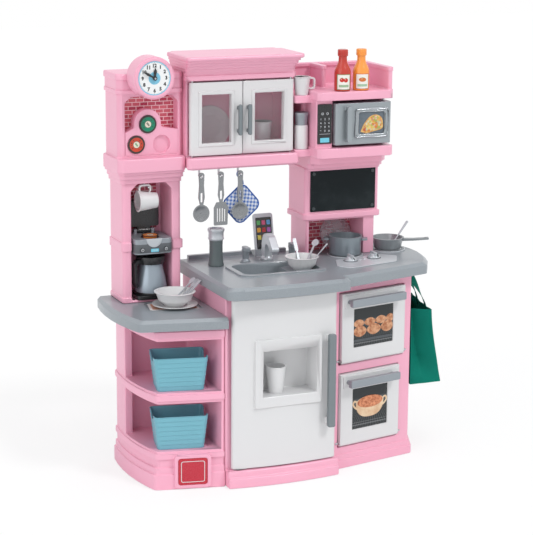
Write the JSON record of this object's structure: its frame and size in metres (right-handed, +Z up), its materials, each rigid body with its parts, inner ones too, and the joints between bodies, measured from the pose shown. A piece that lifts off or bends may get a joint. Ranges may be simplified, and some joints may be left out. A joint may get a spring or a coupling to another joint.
{
  "type": "toy kitchen",
  "caption": "Free-standing toy kitchen with fridge, ovens, cupboard, microwave, sink, hob, open shelves with baskets, coffee maker, cookware and bag.",
  "frame": {"origin": "on the floor below the middle of the fridge section, in the middle of its base", "axes": "+X to the right seen from the front, +Y towards the back, +Z up"},
  "size_m": [1.0664, 0.425, 1.234],
  "materials": {
    "black": "black plastic",
    "blue": "light blue plastic",
    "board": "chalkboard film",
    "check_cloth": "checked cloth",
    "clear": "clear plastic",
    "felt": "felt mat",
    "green_cloth": "woven green cloth",
    "grey": "speckled grey plastic",
    "pink": "moulded pink plastic",
    "print": "printed brick panel",
    "red": "red plastic",
    "silver": "silver-grey plastic",
    "steel": "steel",
    "white": "white plastic"
  },
  "bodies": {
    "kitchen": {"left_base": "pink", "centre_base": "pink", "right_base": "pink", "left_tower": "pink", "right_tower": "pink", "wall_cupboard": "pink", "left_counter": "grey", "main_counter": "grey", "hob_panel": "silver", "microwave_panel": "black", "chalkboard": "board", "brick_panels": "print", "clock_housing": "pink", "clock_face": "white", "pod_holder": "silver", "coffee_pods": "black", "coffee_maker": "silver", "carafe": "silver", "carafe_handle": "black", "hooks": "steel", "hanging_utensils": "silver", "pot_holder": "check_cloth", "pot": "silver", "pot_lid": "clear", "frying_pan": "silver", "phone": "silver", "shakers": "silver", "sauce_bottles": "red", "crockery": "white", "cutlery": "silver", "placemat": "felt", "tote_bag": "green_cloth", "fasteners": "steel", "hinge_pins": "steel"},
    "fridge_door": {"fridge_door": "white", "fridge_handle": "silver", "dispenser_cup": "white"},
    "upper_oven_door": {"upper_oven_door": "white", "upper_oven_handle": "silver"},
    "lower_oven_door": {"lower_oven_door": "white", "lower_oven_handle": "silver"},
    "left_cupboard_door": {"left_cupboard_door": "white", "left_cupboard_pane": "clear", "left_cupboard_handle": "silver"},
    "right_cupboard_door": {"right_cupboard_door": "white", "right_cupboard_pane": "clear", "right_cupboard_handle": "silver"},
    "microwave_door": {"microwave_door": "silver"},
    "minute_hand": {"minute_hand": "black"},
    "hour_hand": {"hour_hand": "black"},
    "coffee_lid": {"coffee_lid": "black"},
    "left_coffee_button": {"left_coffee_button": "black"},
    "right_coffee_button": {"right_coffee_button": "black"},
    "left_hob_knob": {"left_hob_knob": "silver"},
    "right_hob_knob": {"right_hob_knob": "silver"},
    "faucet": {"faucet": "silver"},
    "left_tap": {"left_tap": "silver"},
    "right_tap": {"right_tap": "silver"},
    "upper_basket": {"upper_basket": "blue"},
    "lower_basket": {"lower_basket": "blue"}
  },
  "joints": [
    {"name": "fridge_hinge", "type": "hinge", "parent": "kitchen", "child": "fridge_door", "pos_m": [-0.158, -0.161, 0.3], "axis": [0, 0, -1], "range_deg": [0, 95]},
    {"name": "left_cupboard_hinge", "type": "hinge", "parent": "kitchen", "child": "left_cupboard_door", "pos_m": [-0.205, 0.054, 1], "axis": [0, 0, -1], "range_deg": [0, 95]},
    {"name": "right_cupboard_hinge", "type": "hinge", "parent": "kitchen", "child": "right_cupboard_door", "pos_m": [0.101, 0.054, 1], "axis": [0, 0, 1], "range_deg": [0, 95]},
    {"name": "microwave_hinge", "type": "hinge", "parent": "kitchen", "child": "microwave_door", "pos_m": [0.392, 0.032, 1], "axis": [0, 0, 1], "range_deg": [0, 95]},
    {"name": "upper_oven_hinge", "type": "hinge", "parent": "kitchen", "child": "upper_oven_door", "pos_m": [0.193, -0.13, 0.33], "axis": [0.9781, 0.2079, 0], "range_deg": [0, 90]},
    {"name": "lower_oven_hinge", "type": "hinge", "parent": "kitchen", "child": "lower_oven_door", "pos_m": [0.193, -0.13, 0.078], "axis": [0.9781, 0.2079, 0], "range_deg": [0, 90]},
    {"name": "minute_hand_turn", "type": "hinge", "parent": "kitchen", "child": "minute_hand", "pos_m": [-0.334, 0, 1.166], "axis": [0, 1, 0], "continuous": true},
    {"name": "hour_hand_turn", "type": "hinge", "parent": "kitchen", "child": "hour_hand", "pos_m": [-0.334, 0, 1.166], "axis": [0, 1, 0], "continuous": true},
    {"name": "coffee_lid_hinge", "type": "hinge", "parent": "kitchen", "child": "coffee_lid", "pos_m": [-0.318, 0.158, 0.704], "axis": [1, 0, 0], "range_deg": [0, 8]},
    {"name": "left_coffee_button_press", "type": "slide", "parent": "kitchen", "child": "left_coffee_button", "axis": [0, 1, 0], "range_m": [0, 0.002], "stiffness_N_per_m": 60},
    {"name": "right_coffee_button_press", "type": "slide", "parent": "kitchen", "child": "right_coffee_button", "axis": [0, 1, 0], "range_m": [0, 0.002], "stiffness_N_per_m": 60},
    {"name": "left_hob_knob_turn", "type": "hinge", "parent": "kitchen", "child": "left_hob_knob", "pos_m": [0.272, -0.014, 0.6], "axis": [0, 0, 1], "continuous": true},
    {"name": "right_hob_knob_turn", "type": "hinge", "parent": "kitchen", "child": "right_hob_knob", "pos_m": [0.356, 0, 0.6], "axis": [0, 0, 1], "continuous": true},
    {"name": "faucet_swivel", "type": "hinge", "parent": "kitchen", "child": "faucet", "pos_m": [0.05, 0.1, 0.6], "axis": [0, 0, 1], "range_deg": [-45, 45]},
    {"name": "left_tap_turn", "type": "hinge", "parent": "kitchen", "child": "left_tap", "pos_m": [-0.022, 0.092, 0.6], "axis": [0, 0, 1], "range_deg": [-90, 90]},
    {"name": "right_tap_turn", "type": "hinge", "parent": "kitchen", "child": "right_tap", "pos_m": [0.128, 0.092, 0.6], "axis": [0, 0, 1], "range_deg": [-90, 90]},
    {"name": "upper_basket_slide", "type": "slide", "parent": "kitchen", "child": "upper_basket", "axis": [-0.2079, -0.9781, 0], "range_m": [0, 0.13]},
    {"name": "lower_basket_slide", "type": "slide", "parent": "kitchen", "child": "lower_basket", "axis": [-0.2079, -0.9781, 0], "range_m": [0, 0.13]}
  ]
}
